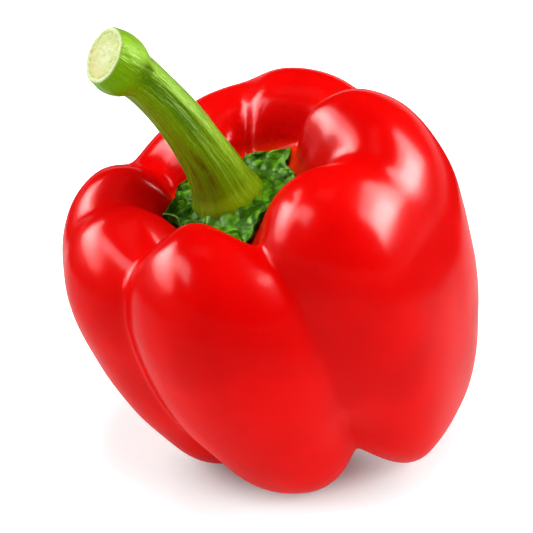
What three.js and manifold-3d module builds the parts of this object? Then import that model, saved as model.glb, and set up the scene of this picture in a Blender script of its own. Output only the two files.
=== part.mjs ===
// A ripe red bell pepper with its green stem, standing on the tips of its four lobes.
// Millimetres, +Z up, -Y towards the front. The fruit is first shaped round its own upright axis,
// with the stem end up and the lobe tips near height 0, and then leans over as the real one stands.
import * as THREE from 'three';
import { mergeVertices } from 'three/addons/utils/BufferGeometryUtils.js';
import Module from 'manifold-3d';

const wasm = await Module();
wasm.setup();

// ---- driving dimensions, in millimetres and degrees ----

// How far the fruit's axis leans from upright, towards -X and towards -Y.
const LEAN_LEFT = 20;
const LEAN_FRONT = 4;
// Height that is pressed flat at the lobe tips.
const FLAT_CUT = 0.5;
// Gap left between touching pieces.
const GAP = 0.4;

// Half outline of the fruit as [radius, height], from the stem hollow over the shoulder and down
// the side to the dimple between the tips.
const OUTLINE = [
  [0, 60.5], [8, 60], [14, 62.5], [18.5, 69], [25.5, 75], [34.5, 74.5], [42, 66.5], [45.5, 55],
  [45.3, 42.5], [42.5, 29.5], [37.5, 17], [30, 6], [20, 1], [10.5, 4], [4.5, 8.5], [0, 9.5],
];

// How each side departs from the outline: direction round the axis, rise of the shoulder, outward
// growth of the shoulder, belly and tip, and drop of the tip.
const SIDES = [
  { at: -155, rise: -1.5, shoulder: -0.3, belly: 0.3, tip: 5.2, drop: 3 },
  { at: -105, rise: -0.8, shoulder: 1, belly: 1, tip: 2, drop: 2.5 },
  { at: -58, rise: -1.5, shoulder: 1, belly: 0, tip: 3, drop: 5 },
  { at: -22, rise: -1.8, shoulder: 0, belly: -3, tip: 1, drop: 5.5 },
  { at: 15, rise: 0.3, shoulder: -4, belly: -3, tip: 2, drop: 2 },
  { at: 65, rise: -2, shoulder: -3, belly: -2, tip: 0, drop: 0 },
  { at: 115, rise: -4.8, shoulder: -3, belly: -2, tip: 0, drop: 0 },
  { at: 167, rise: -0.9, shoulder: -2.5, belly: -0.5, tip: 1, drop: 0 },
];
// Where along the outline (0 at the stem, 1 at the dimple) each of them is strongest, and its width.
const REGIONS = {
  rise: [0.28, 0.13], shoulder: [0.28, 0.13], belly: [0.5, 0.17], tip: [0.76, 0.13], drop: [0.82, 0.14],
};
// Inside this radius the departures fade out towards the axis.
const FADE_RADIUS = 20;

// The furrows are pressed towards this upright core line, given as [radius, height] at both ends.
const CORE_TOP = [26, 56];
const CORE_FOOT = [24, 24];

// The furrows between lobes. Their directions are given at FOLD_PLACES along the outline and their
// depths at DEPTH_PLACES; reach is the half width in degrees, and soft is how round the bottom is.
const FOLD_PLACES = [0, 0.16, 0.3, 0.55, 0.85, 1];
const DEPTH_PLACES = [0, 0.1, 0.18, 0.27, 0.4, 0.6, 0.76, 0.88, 1];
const FOLDS = [
  { reach: 30, soft: 0.08, at: [-86, -85, -81, -75, -76, -76], depth: [0, 4, 8, 10.5, 8.5, 6.5, 9.5, 9.5, 0] },
  { reach: 38, soft: 0.12, at: [54, 51, 41, 37, 32, 32], depth: [0, 4, 7, 9, 5, 2.5, 8, 8, 0] },
  { reach: 38, soft: 0.15, at: [146, 146, 144, 138, 130, 130], depth: [0, 4, 7, 8, 4, 2.5, 8, 8, 0] },
  { reach: 34, soft: 0.06, at: [-122, -124, -133, -137, -143, -143], depth: [0, 4, 8, 9, 7, 5, 9, 8, 0] },
  { reach: 24, soft: 0.2, at: [-32, -30, -26, -26, -26, -26], depth: [0, 2, 4, 4, 1.8, 0, 0, 0, 0] },
  { reach: 20, soft: 0.2, at: [88, 88, 88, 88, 88, 88], depth: [0, 2, 3, 2, 0.3, 0, 0, 0, 0] },
  { reach: 20, soft: 0.2, at: [-164, -164, -168, -168, -168, -168], depth: [0, 2, 3.5, 3.5, 1, 0, 0, 0, 0] },
];

// How far each lobe tip is set back (+Y) and down to reach the ground, by direction round the axis.
const FEET = [
  { at: -160, back: -6, down: -3.3 }, { at: -105, back: 0, down: 0.9 }, { at: -45, back: 5.5, down: 5.6 },
  { at: 15, back: 4, down: 7 }, { at: 60, back: 0, down: 6 }, { at: 110, back: 0, down: 7.4 },
  { at: 165, back: -3.5, down: -2.6 },
];
// The set-back grows between these places along the outline, and then fades into the dimple.
const FOOT_START = 0.5;
const FOOT_FULL = 0.82;

// The stem hollow's middle lies off the axis by this much, until HOLLOW_END along the outline.
const HOLLOW_OFFSET = [-3.4, -0.7];
const HOLLOW_END = 0.3;

// Stem: its centre line from the calyx to the cut end, its radius along the way, and the cut's normal.
const STEM_LINE = [
  [-3.7, -0.8, 61.2], [-4.8, -1.1, 72], [-6.9, -1.7, 84.1], [-10.4, -3.2, 95.8], [-14.7, -6.5, 105.6],
];
const STEM_RADIUS = [
  [0, 7.8], [0.13, 6.7], [0.3, 5.4], [0.5, 4.9], [0.7, 4.6], [0.785, 4.75], [0.825, 5.5], [0.87, 6.4],
  [0.93, 6.7], [1, 6.2],
];
const CUT_NORMAL = [-0.524, -0.35, 0.782];
// The last part of the stem, as a share of its length, over which the sections turn to the cut.
const CUT_SHARE = 0.2;

// Calyx: where it starts along the outline, where its pointed rim lies in each direction, and its
// thickness next to the stem and at its rim.
const CALYX_INNER = 0.08;
const CALYX_RIM = [
  [-160, 0.187], [-135, 0.152], [-110, 0.165], [-90, 0.148], [-70, 0.15], [-40, 0.13], [-10, 0.143],
  [25, 0.12], [75, 0.142], [95, 0.128], [130, 0.168], [165, 0.15], [200, 0.187],
];
const CALYX_THICK = [1.8, 0.8];

// Mesh fineness.
const FRUIT_ROWS = 44;
const FRUIT_COLUMNS = 80;
const STEM_ROWS = 28;
const STEM_COLUMNS = 20;
const CALYX_COLUMNS = 72;
const CALYX_STEPS = 4;

const DEG = Math.PI / 180;
const TURN = 2 * Math.PI;

// ---- curves ----

/** Value at x of the smooth curve through [place, value] keys that never overshoots them. */
function through(keys, x) {
  const last = keys.length - 1;
  const rise = (k) => (keys[k + 1][1] - keys[k][1]) / (keys[k + 1][0] - keys[k][0]);
  const slope = (k) => {
    if (k === 0) return rise(0);
    if (k === last) return rise(last - 1);
    const before = rise(k - 1);
    const after = rise(k);
    return before * after <= 0 ? 0 : (2 * before * after) / (before + after);
  };
  let i = 0;
  while (i < last - 1 && x > keys[i + 1][0]) i += 1;
  const span = keys[i + 1][0] - keys[i][0];
  const f = THREE.MathUtils.clamp((x - keys[i][0]) / span, 0, 1);
  const lower = (1 + 2 * f) * (1 - f) ** 2 * keys[i][1] + f * (1 - f) ** 2 * span * slope(i);
  const upper = f * f * (3 - 2 * f) * keys[i + 1][1] - f * f * (1 - f) * span * slope(i + 1);
  return lower + upper;
}

/** The same curve for values given at directions in degrees, closed round the full turn. */
function roundTurn(entries, name, angle) {
  const keys = entries.map((entry) => [entry.at, entry[name]]);
  const closed = [-360, 0, 360].flatMap((shift) => keys.map(([at, value]) => [at + shift, value]));
  return through(closed, angle);
}

/** Point at place s (0 to 1) of the Catmull-Rom curve through points, with the given end neighbours. */
function curveThrough(points, before, after, s) {
  const all = [before, ...points, after];
  const spans = points.length - 1;
  const i = Math.min(Math.floor(s * spans), spans - 1);
  const f = s * spans - i;
  return points[0].map((_, k) => {
    const [a, b, c, d] = [all[i][k], all[i + 1][k], all[i + 2][k], all[i + 3][k]];
    const curve = 2 * b + (c - a) * f + (2 * a - 5 * b + 4 * c - d) * f ** 2;
    return 0.5 * (curve + (3 * b - 3 * c + d - a) * f ** 3);
  });
}

const bell = (x, [middle, width]) => Math.exp(-(((x - middle) / width) ** 2));

function smooth(x) {
  const f = THREE.MathUtils.clamp(x, 0, 1);
  return f * f * (3 - 2 * f);
}

// ---- the fruit's surface ----

/** Radius and height of the side at a direction, before the furrows are pressed in. */
function side(place, angle) {
  const mirrored = ([radius, height]) => [-radius, height];
  const ends = [mirrored(OUTLINE[1]), mirrored(OUTLINE.at(-2))];
  const [radius, height] = curveThrough(OUTLINE, ends[0], ends[1], place);
  const grown = (name) => roundTurn(SIDES, name, angle) * bell(place, REGIONS[name]);
  const fade = THREE.MathUtils.clamp(radius / FADE_RADIUS, 0, 1);
  return [
    radius + fade * (grown('shoulder') + grown('belly') + grown('tip')),
    height + grown('rise') - grown('drop'),
  ];
}

/** Depth of all furrows together at a place and direction. */
function furrow(place, angle) {
  return FOLDS.reduce((sum, fold) => {
    const middle = through(FOLD_PLACES.map((p, k) => [p, fold.at[k]]), place);
    const off = Math.abs(((angle - middle + 540) % 360) - 180) / fold.reach;
    const rounded = (Math.hypot(off, fold.soft) - fold.soft) / (Math.hypot(1, fold.soft) - fold.soft);
    const depth = through(DEPTH_PLACES.map((p, k) => [p, fold.depth[k]]), place);
    return sum + depth * Math.max(1 - rounded, 0) ** 2;
  }, 0);
}

/** Point of the skin at a place along the outline (0 to 1) and a direction in degrees. */
function skinPoint(place, angle) {
  const [radius, height] = side(place, angle);
  const coreHeight = THREE.MathUtils.clamp(height, CORE_FOOT[1], CORE_TOP[1]);
  const up = (coreHeight - CORE_FOOT[1]) / (CORE_TOP[1] - CORE_FOOT[1]);
  const coreRadius = THREE.MathUtils.lerp(CORE_FOOT[0], CORE_TOP[0], up);
  const pressed = furrow(place, angle) / Math.hypot(radius - coreRadius, height - coreHeight);
  const rho = THREE.MathUtils.lerp(radius, coreRadius, pressed);
  const point = new THREE.Vector3(rho * Math.cos(angle * DEG), rho * Math.sin(angle * DEG), 0);
  point.z = THREE.MathUtils.lerp(height, coreHeight, pressed);

  const inHollow = 1 - smooth(place / HOLLOW_END);
  point.x += HOLLOW_OFFSET[0] * inHollow;
  point.y += HOLLOW_OFFSET[1] * inHollow;

  const foot = smooth((place - FOOT_START) / (FOOT_FULL - FOOT_START));
  const fade = smooth((1 - place) / (1 - FOOT_FULL));
  const shift = new THREE.Vector3(0, roundTurn(FEET, 'back', angle), -roundTurn(FEET, 'down', angle));
  return point.add(shift.multiplyScalar(foot * fade).applyMatrix4(upright));
}

/** Outward normal of the skin, from two small steps along it. */
function skinNormal(place, angle) {
  const along = skinPoint(place + 0.002, angle).sub(skinPoint(place - 0.002, angle));
  const across = skinPoint(place, angle + 0.5).sub(skinPoint(place, angle - 0.5));
  return along.cross(across).normalize();
}

// ---- meshes ----

/** Geometry with shared vertices from points and triangles. */
function geometryOf(points, triangles) {
  const geometry = new THREE.BufferGeometry();
  geometry.setAttribute('position', new THREE.Float32BufferAttribute(points.flatMap((p) => p.toArray()), 3));
  geometry.setIndex(triangles);
  return geometry;
}

/** Two triangles for each quad between neighbouring rows of a grid whose columns close on themselves. */
function bands(rows, columns, closedRows = false) {
  const triangles = [];
  const bandCount = closedRows ? rows : rows - 1;
  for (let i = 0; i < bandCount; i += 1) {
    for (let j = 0; j < columns; j += 1) {
      const [a, b] = [i * columns + j, i * columns + ((j + 1) % columns)];
      const [c, d] = [((i + 1) % rows) * columns + j, ((i + 1) % rows) * columns + ((j + 1) % columns)];
      triangles.push(a, c, d, a, d, b);
    }
  }
  return triangles;
}

/** Fans from one end point to the first row and from the last row to another end point. */
function endFans(rows, columns, first, last) {
  const triangles = [];
  const lastRow = (rows - 1) * columns;
  for (let j = 0; j < columns; j += 1) {
    const next = (j + 1) % columns;
    triangles.push(first, j, next, last, lastRow + next, lastRow + j);
  }
  return triangles;
}

/** The solid left when everything below ground is cut away. */
function cutAtGround(geometry) {
  const toSolid = (shape) => {
    const bare = shape.clone();
    bare.deleteAttribute('normal');
    bare.deleteAttribute('uv');
    const merged = mergeVertices(bare, 1e-5);
    return new wasm.Manifold(new wasm.Mesh({
      numProp: 3,
      vertProperties: new Float32Array(merged.attributes.position.array),
      triVerts: new Uint32Array(merged.index.array),
    }));
  };
  const under = new THREE.BoxGeometry(300, 300, 50).translate(0, 0, -25);
  const mesh = toSolid(geometry).subtract(toSolid(under)).getMesh();
  const cut = new THREE.BufferGeometry();
  cut.setAttribute('position', new THREE.BufferAttribute(new Float32Array(mesh.vertProperties), 3));
  cut.setIndex([...mesh.triVerts]);
  return cut;
}

// ---- the three pieces, each in the fruit's own upright frame ----

/** Lobed fruit body, closed at the stem hollow and at the dimple. */
function fruitGeometry() {
  const points = [];
  for (let i = 1; i < FRUIT_ROWS; i += 1) {
    for (let j = 0; j < FRUIT_COLUMNS; j += 1) {
      points.push(skinPoint(i / FRUIT_ROWS, (360 * j) / FRUIT_COLUMNS - 180));
    }
  }
  points.push(skinPoint(0, 0), skinPoint(1, 0));
  const rows = FRUIT_ROWS - 1;
  const fans = endFans(rows, FRUIT_COLUMNS, points.length - 2, points.length - 1);
  return geometryOf(points, [...bands(rows, FRUIT_COLUMNS), ...fans]);
}

/** Curved stem with a flared base and a thick end that is cut on a slant. */
function stemGeometry() {
  const [first, second] = STEM_LINE;
  const [nextToLast, last] = STEM_LINE.slice(-2);
  const before = first.map((value, k) => 2 * value - second[k]);
  const after = last.map((value, k) => 2 * value - nextToLast[k]);
  const centre = (s) => new THREE.Vector3(...curveThrough(STEM_LINE, before, after, s));
  const points = [];
  for (let i = STEM_ROWS; i >= 0; i -= 1) {
    const s = i / STEM_ROWS;
    const along = centre(Math.min(s + 0.01, 1)).sub(centre(Math.max(s - 0.01, 0))).normalize();
    along.lerp(new THREE.Vector3(0, 0, 1), 1 - smooth(s / CUT_SHARE));
    along.lerp(new THREE.Vector3(...CUT_NORMAL), smooth((s - 1 + CUT_SHARE) / CUT_SHARE)).normalize();
    const across = new THREE.Vector3(0, 1, 0).cross(along).normalize();
    const other = along.clone().cross(across);
    for (let j = 0; j < STEM_COLUMNS; j += 1) {
      const angle = (TURN * j) / STEM_COLUMNS;
      const point = centre(s).addScaledVector(across, through(STEM_RADIUS, s) * Math.cos(angle));
      points.push(point.addScaledVector(other, through(STEM_RADIUS, s) * Math.sin(angle)));
    }
  }
  points.push(centre(1), centre(0));
  const fans = endFans(STEM_ROWS + 1, STEM_COLUMNS, points.length - 2, points.length - 1);
  return geometryOf(points, [...bands(STEM_ROWS + 1, STEM_COLUMNS), ...fans]);
}

/** Where the calyx ends along the outline: straight runs between the rim's keys. */
function calyxRim(angle) {
  const turned = angle < CALYX_RIM[0][0] ? angle + 360 : angle;
  const next = CALYX_RIM.findIndex(([at], k) => k > 0 && turned <= at);
  const [[from, first], [to, second]] = [CALYX_RIM[next - 1], CALYX_RIM[next]];
  return THREE.MathUtils.mapLinear(turned, from, to, first, second);
}

/** Pointed collar that lies on the floor of the stem hollow, round the foot of the stem. */
function calyxGeometry() {
  const points = [];
  for (let j = 0; j < CALYX_COLUMNS; j += 1) {
    const angle = (360 * j) / CALYX_COLUMNS - 180;
    const outer = calyxRim(angle);
    const under = [];
    const over = [];
    for (let k = 0; k <= CALYX_STEPS; k += 1) {
      const share = k / CALYX_STEPS;
      const place = THREE.MathUtils.lerp(CALYX_INNER, outer, share);
      const normal = skinNormal(place, angle);
      const thick = THREE.MathUtils.lerp(CALYX_THICK[0], CALYX_THICK[1], share);
      under.push(skinPoint(place, angle).addScaledVector(normal, GAP));
      over.unshift(skinPoint(place, angle).addScaledVector(normal, GAP + thick));
    }
    points.push(...under, ...over);
  }
  return geometryOf(points, bands(CALYX_COLUMNS, 2 * (CALYX_STEPS + 1), true));
}

// ---- placing ----

const lean = new THREE.Matrix4().makeRotationX(LEAN_FRONT * DEG);
lean.multiply(new THREE.Matrix4().makeRotationY(-LEAN_LEFT * DEG));
const upright = lean.clone().invert();

const fruitShape = fruitGeometry().applyMatrix4(lean);
fruitShape.computeBoundingBox();
const groundHeight = fruitShape.boundingBox.min.z + FLAT_CUT;

function pieceMesh(name, geometry, color, roughness) {
  geometry.computeVertexNormals();
  const mesh = new THREE.Mesh(geometry, new THREE.MeshStandardMaterial({ color, roughness, metalness: 0 }));
  mesh.name = name;
  return mesh;
}

const calyxShape = calyxGeometry().applyMatrix4(lean).translate(0, 0, -groundHeight);
const stemShape = stemGeometry().applyMatrix4(lean).translate(0, 0, -groundHeight);
const pepper = new THREE.Group();
pepper.add(pieceMesh('fruit', cutAtGround(fruitShape.translate(0, 0, -groundHeight)), 0xd01008, 0.22));
pepper.add(pieceMesh('calyx', calyxShape, 0x2e5a16, 0.5));
pepper.add(pieceMesh('stem', stemShape, 0x6a8c18, 0.4));

// The origin is the middle of the footprint, on the surface that the pepper stands on.
const middle = new THREE.Box3().setFromObject(pepper, true).getCenter(new THREE.Vector3());
pepper.position.set(-middle.x, -middle.y, 0);

export default pepper;
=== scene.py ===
"""A ripe red bell pepper with its crinkled calyx and curved cut stem, standing on a pale studio floor."""

import logging
import math
from dataclasses import dataclass, field
from enum import Enum

import bpy
import numpy as np
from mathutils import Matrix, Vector


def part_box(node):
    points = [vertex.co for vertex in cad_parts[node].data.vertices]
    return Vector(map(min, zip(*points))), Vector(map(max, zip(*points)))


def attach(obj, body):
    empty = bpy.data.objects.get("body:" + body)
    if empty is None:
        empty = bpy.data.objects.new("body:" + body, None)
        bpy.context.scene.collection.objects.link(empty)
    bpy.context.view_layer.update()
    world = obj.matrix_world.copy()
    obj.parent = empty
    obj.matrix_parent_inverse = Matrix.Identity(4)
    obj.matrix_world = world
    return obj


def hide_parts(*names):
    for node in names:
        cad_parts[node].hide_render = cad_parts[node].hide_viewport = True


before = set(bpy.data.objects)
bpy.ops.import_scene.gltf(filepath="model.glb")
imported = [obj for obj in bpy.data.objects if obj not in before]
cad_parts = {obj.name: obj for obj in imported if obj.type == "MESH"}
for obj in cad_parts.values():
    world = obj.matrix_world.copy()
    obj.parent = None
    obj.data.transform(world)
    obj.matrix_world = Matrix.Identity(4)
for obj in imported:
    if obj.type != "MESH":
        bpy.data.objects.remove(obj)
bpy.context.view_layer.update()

MM = 0.001
BODY = "root"
LOG = logging.getLogger("bell_pepper")

Triple = tuple[float, float, float]
Colour = tuple[float, float, float]
Keys = tuple[tuple[float, float], ...]

BLACK: Colour = (0.0, 0.0, 0.0)
WHITE: Colour = (1.0, 1.0, 1.0)
BACK = np.array([0.0, 1.0, 0.0])
UP = np.array([0.0, 0.0, 1.0])


# ---------------------------------------------------------------- curves and small maths


def smooth(x: np.ndarray) -> np.ndarray:
    """Ease from 0 to 1 with level ends: 3x^2 - 2x^3, with x held between 0 and 1."""
    x = np.clip(x, 0.0, 1.0)
    return x * x * (3.0 - 2.0 * x)


def bell(x: np.ndarray, middle: float, width: float) -> np.ndarray:
    """Gaussian hump of height 1 about middle."""
    return np.exp(-(((x - middle) / width) ** 2))


def through(places: np.ndarray, values: np.ndarray, x: np.ndarray) -> np.ndarray:
    """Cubic Hermite curve through keys, with harmonic-mean slopes so that it never overshoots them.

    Args:
        places: Rising key places.
        values: Value at each key.
        x: Where the curve is wanted.

    Returns:
        The curve's values, in the shape of x.
    """
    places, values = np.asarray(places, float), np.asarray(values, float)
    span = np.diff(places)
    rise = np.diff(values) / span
    product = rise[:-1] * rise[1:]
    total = np.where(product > 0, rise[:-1] + rise[1:], 1.0)
    slope = np.concatenate([rise[:1], np.where(product > 0, 2 * product / total, 0.0), rise[-1:]])
    i = np.clip(np.searchsorted(places, x, side="right") - 1, 0, len(span) - 1)
    f = np.clip((x - places[i]) / span[i], 0.0, 1.0)
    lower = (1 + 2 * f) * (1 - f) ** 2 * values[i] + f * (1 - f) ** 2 * span[i] * slope[i]
    upper = f * f * (3 - 2 * f) * values[i + 1] - f * f * (1 - f) * span[i] * slope[i + 1]
    return lower + upper


def through_keys(keys: Keys, x: np.ndarray) -> np.ndarray:
    """The same curve for keys given as (place, value) pairs."""
    places, values = zip(*keys)
    return through(np.array(places), np.array(values), x)


def round_turn(directions: np.ndarray, values: np.ndarray, angle: np.ndarray) -> np.ndarray:
    """The same curve closed round a full turn, for values given at directions in degrees."""
    places = np.concatenate([directions - 360, directions, directions + 360])
    return through(places, np.tile(values, 3), angle)


def curve_through(points: np.ndarray, before: np.ndarray, after: np.ndarray, s: np.ndarray) -> np.ndarray:
    """Catmull-Rom curve through points.

    Args:
        points: One row for each point.
        before: Neighbour of the first point.
        after: Neighbour of the last point.
        s: Places from 0 to 1, the points being evenly spaced in s.

    Returns:
        One row for each place.
    """
    rows = np.vstack([before, points, after])
    spans = len(points) - 1
    i = np.minimum((s * spans).astype(int), spans - 1)
    f = (s * spans - i)[..., None]
    a, b, c, d = rows[i], rows[i + 1], rows[i + 2], rows[i + 3]
    return 0.5 * (2 * b + (c - a) * f + (2 * a - 5 * b + 4 * c - d) * f**2 + (3 * b - 3 * c + d - a) * f**3)


def unit(vectors: np.ndarray) -> np.ndarray:
    """Vectors scaled to length 1 along their last axis."""
    return vectors / np.maximum(np.linalg.norm(vectors, axis=-1, keepdims=True), 1e-12)


def waves(points: np.ndarray, size: float, count: int, seed: int) -> np.ndarray:
    """Smooth irregular unevenness: the mean of sine waves with random directions and phases.

    Args:
        points: Positions, with x, y and z on the last axis.
        size: Typical wavelength, in the unit of points.
        count: Number of waves.
        seed: Seed of the random directions, wavelengths and phases.

    Returns:
        Values of about -1 to 1, one for each position.
    """
    rng = np.random.default_rng(seed)
    directions = unit(rng.normal(size=(count, 3)))
    numbers = 2 * np.pi / (size * rng.uniform(0.7, 1.5, count))
    phases = rng.uniform(0, 2 * np.pi, count)
    return np.sin((points @ directions.T) * numbers + phases).sum(-1) / math.sqrt(count)


@dataclass(frozen=True)
class Ripple:
    """Slight unevenness of a surface: wavelength, height, number of waves and seed."""

    size: float
    height: float
    count: int
    seed: int

    def at(self, points: np.ndarray) -> np.ndarray:
        """Height at points."""
        return self.height * waves(points, self.size, self.count, self.seed)


# ---------------------------------------------------------------- meshes


class Closing(Enum):
    """How the two ends of a grid of rings are closed."""

    POLES = "poles"
    LOOP = "loop"


def ring_faces(rows: int, columns: int, closing: Closing) -> np.ndarray:
    """Quads between neighbouring rings, each ring closed on itself.

    Args:
        rows: Number of rings.
        columns: Points in a ring.
        closing: LOOP joins the last ring to the first.

    Returns:
        One row of four vertex numbers for each quad.
    """
    bands = rows if closing is Closing.LOOP else rows - 1
    i, j = np.meshgrid(np.arange(bands), np.arange(columns), indexing="ij")
    below, right = (i + 1) % rows, (j + 1) % columns
    quads = [i * columns + j, below * columns + j, below * columns + right, i * columns + right]
    return np.stack(quads, -1).reshape(-1, 4)


def fan_faces(ring: np.ndarray, pole: int, outward: bool) -> np.ndarray:
    """Triangles between a ring of vertex numbers and a pole, turned to face outwards."""
    following = np.roll(ring, -1)
    poles = np.full(len(ring), pole)
    return np.stack([poles, ring, following] if outward else [poles, following, ring], -1)


def mesh_object(
    name: str, rings: np.ndarray, closing: Closing, marks: dict[str, np.ndarray]
) -> bpy.types.Object:
    """Smooth closed mesh from a grid of rings.

    Args:
        name: The piece's name.
        rings: Points in metres, as rows x columns x 3. With POLES, the first and last rows are each one
            repeated point and become a single vertex.
        closing: How the grid's ends are closed.
        marks: Named values on the grid, as rows x columns, kept as point attributes.

    Returns:
        The new object, linked to the scene.
    """
    rows, columns = rings.shape[:2]
    flat = {mark: values.astype(float) for mark, values in marks.items()}
    if closing is Closing.LOOP:
        points = rings.reshape(-1, 3)
        faces = ring_faces(rows, columns, closing).tolist()
        flat = {mark: values.reshape(-1) for mark, values in flat.items()}
    else:
        inner = rings[1:-1]
        points = np.vstack([inner.reshape(-1, 3), rings[:1, 0], rings[-1:, 0]])
        count = inner.shape[0] * columns
        top = fan_faces(np.arange(columns), count, outward=True)
        end = fan_faces(np.arange(count - columns, count), count + 1, outward=False)
        faces = ring_faces(rows - 2, columns, closing).tolist() + top.tolist() + end.tolist()
        flat = {
            mark: np.concatenate([values[1:-1].reshape(-1), values[:1, 0], values[-1:, 0]])
            for mark, values in flat.items()
        }
    mesh = bpy.data.meshes.new(name)
    mesh.from_pydata(points.tolist(), [], faces)
    mesh.polygons.foreach_set("use_smooth", np.ones(len(mesh.polygons), bool))
    for mark, values in flat.items():
        attribute = mesh.attributes.new(mark, "FLOAT", "POINT")
        attribute.data.foreach_set("value", values.astype(np.float32))
    mesh.update()
    piece = bpy.data.objects.new(name, mesh)
    bpy.context.scene.collection.objects.link(piece)
    return piece


def dress(piece: bpy.types.Object, material: bpy.types.Material, node: str) -> bpy.types.Object:
    """Give a piece its material, hang it on the body, and hide the CAD node that it stands for.

    Args:
        piece: The finished piece.
        material: Its material.
        node: The CAD node that it replaces.

    Returns:
        The same piece.
    """
    piece.data.materials.append(material)
    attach(piece, BODY)
    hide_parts(node)
    LOG.info("%s: %d vertices, stands for %s", piece.name, len(piece.data.vertices), node)
    return piece


# ---------------------------------------------------------------- shader writing


@dataclass(frozen=True)
class Num:
    """A number socket that takes Python arithmetic, each operation adding a Math node."""

    graph: "Graph"
    socket: bpy.types.NodeSocket

    def _with(self, operation: str, first: "Num | float", second: "Num | float") -> "Num":
        """Add a Math node of two inputs and return its result."""
        return self.graph.math(operation, first, second)

    def __add__(self, other: "Num | float") -> "Num":
        """Sum."""
        return self._with("ADD", self, other)

    def __mul__(self, other: "Num | float") -> "Num":
        """Product."""
        return self._with("MULTIPLY", self, other)

    def __sub__(self, other: "Num | float") -> "Num":
        """Difference."""
        return self._with("SUBTRACT", self, other)

    def __rsub__(self, other: float) -> "Num":
        """Difference from a plain number."""
        return self._with("SUBTRACT", other, self)

    __radd__ = __add__
    __rmul__ = __mul__

    def between(self, low: float, high: float) -> "Num":
        """Where this lies between low and high, eased from 0 to 1."""
        settings = {"interpolation_type": "SMOOTHSTEP"}
        inputs = {"Value": self, "From Min": low, "From Max": high}
        return Num(self.graph, self.graph.node("ShaderNodeMapRange", settings, inputs).outputs["Result"])


class Graph:
    """The node graph of one material, round its Principled shader."""

    def __init__(self, name: str) -> None:
        """Start a material.

        Args:
            name: The material's name.
        """
        self.material = bpy.data.materials.new(name)
        self.material.use_nodes = True
        self.tree = self.material.node_tree
        self.shader = self.tree.nodes["Principled BSDF"]

    def node(self, kind: str, settings: dict[str, object], inputs: dict[str | int, object]) -> bpy.types.Node:
        """Add a node.

        Args:
            kind: The node's type.
            settings: Its properties, set first.
            inputs: Value or link for each named or numbered input.

        Returns:
            The new node.
        """
        node = self.tree.nodes.new(kind)
        for name, value in settings.items():
            setattr(node, name, value)
        for key, value in inputs.items():
            self.feed(node.inputs[key], value)
        return node

    def feed(self, socket: bpy.types.NodeSocket, value: object) -> None:
        """Link a socket to another socket or number, or set it to a plain value."""
        source = value.socket if isinstance(value, Num) else value
        if isinstance(source, bpy.types.NodeSocket):
            self.tree.links.new(source, socket)
        elif isinstance(source, tuple) and socket.type == "RGBA":
            socket.default_value = (*source, 1.0)
        else:
            socket.default_value = source

    def math(self, operation: str, first: "Num | float", second: "Num | float") -> Num:
        """Math node of two inputs."""
        node = self.node("ShaderNodeMath", {"operation": operation}, {0: first, 1: second})
        return Num(self, node.outputs["Value"])

    def vector(self, operation: str, first: object, second: object) -> bpy.types.Node:
        """Vector Math node of two inputs."""
        return self.node("ShaderNodeVectorMath", {"operation": operation}, {0: first, 1: second})

    def mark(self, name: str) -> Num:
        """A point attribute of the piece, as a number."""
        return Num(self, self.node("ShaderNodeAttribute", {"attribute_name": name}, {}).outputs["Fac"])

    def place(self) -> bpy.types.NodeSocket:
        """Object coordinates in metres."""
        return self.node("ShaderNodeTexCoord", {}, {}).outputs["Object"]

    def away_from(self, middle: Triple, stretch: Triple) -> Num:
        """Distance from middle in metres, with each axis multiplied by stretch."""
        scaled = self.vector("MULTIPLY", self.place(), stretch).outputs["Vector"]
        centre = tuple(m * s for m, s in zip(middle, stretch))
        return Num(self, self.vector("DISTANCE", scaled, centre).outputs["Value"])

    def along(self, scale: tuple[float, float]) -> bpy.types.NodeSocket:
        """Vector of the piece's own marks, for patterns that run along it.

        Args:
            scale: Scale of the two marks that go round the piece, and of the one that goes along it.

        Returns:
            The vector socket.
        """
        around, lengthways = scale
        values = {"X": self.mark("turn_x") * around, "Y": self.mark("turn_y") * around}
        values["Z"] = self.mark("along") * lengthways
        return self.node("ShaderNodeCombineXYZ", {}, values).outputs["Vector"]

    def noise(self, vector: bpy.types.NodeSocket, scale: float, detail: float, roughness: float = 0.5) -> Num:
        """Value of a noise texture, which varies about 0.5."""
        inputs = {"Vector": vector, "Scale": scale, "Detail": detail, "Roughness": roughness}
        return Num(self, self.node("ShaderNodeTexNoise", {}, inputs).outputs["Fac"])

    def blend(self, share: "Num | float", first: object, second: object) -> bpy.types.NodeSocket:
        """Colour between first and second by share."""
        node = self.node("ShaderNodeMix", {"data_type": "RGBA"}, {0: share, 6: first, 7: second})
        return node.outputs[2]

    def bump(
        self, height: Num, distance: float, strength: float, under: bpy.types.NodeSocket | None = None
    ) -> bpy.types.NodeSocket:
        """Normal from a height.

        Args:
            height: The height, about 0 to 1.
            distance: What a height of 1 means, in metres.
            strength: Share of the effect.
            under: Normal of a coarser relief below this one, if any.

        Returns:
            The normal socket.
        """
        inputs = {"Height": height, "Distance": distance, "Strength": strength}
        if under is not None:
            inputs["Normal"] = under
        return self.node("ShaderNodeBump", {}, inputs).outputs["Normal"]

    def finish(self, values: dict[str, object]) -> bpy.types.Material:
        """Feed the Principled shader's sockets and return the material."""
        for name, value in values.items():
            self.feed(self.shader.inputs[name], value)
        return self.material


# ---------------------------------------------------------------- finishes


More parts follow.
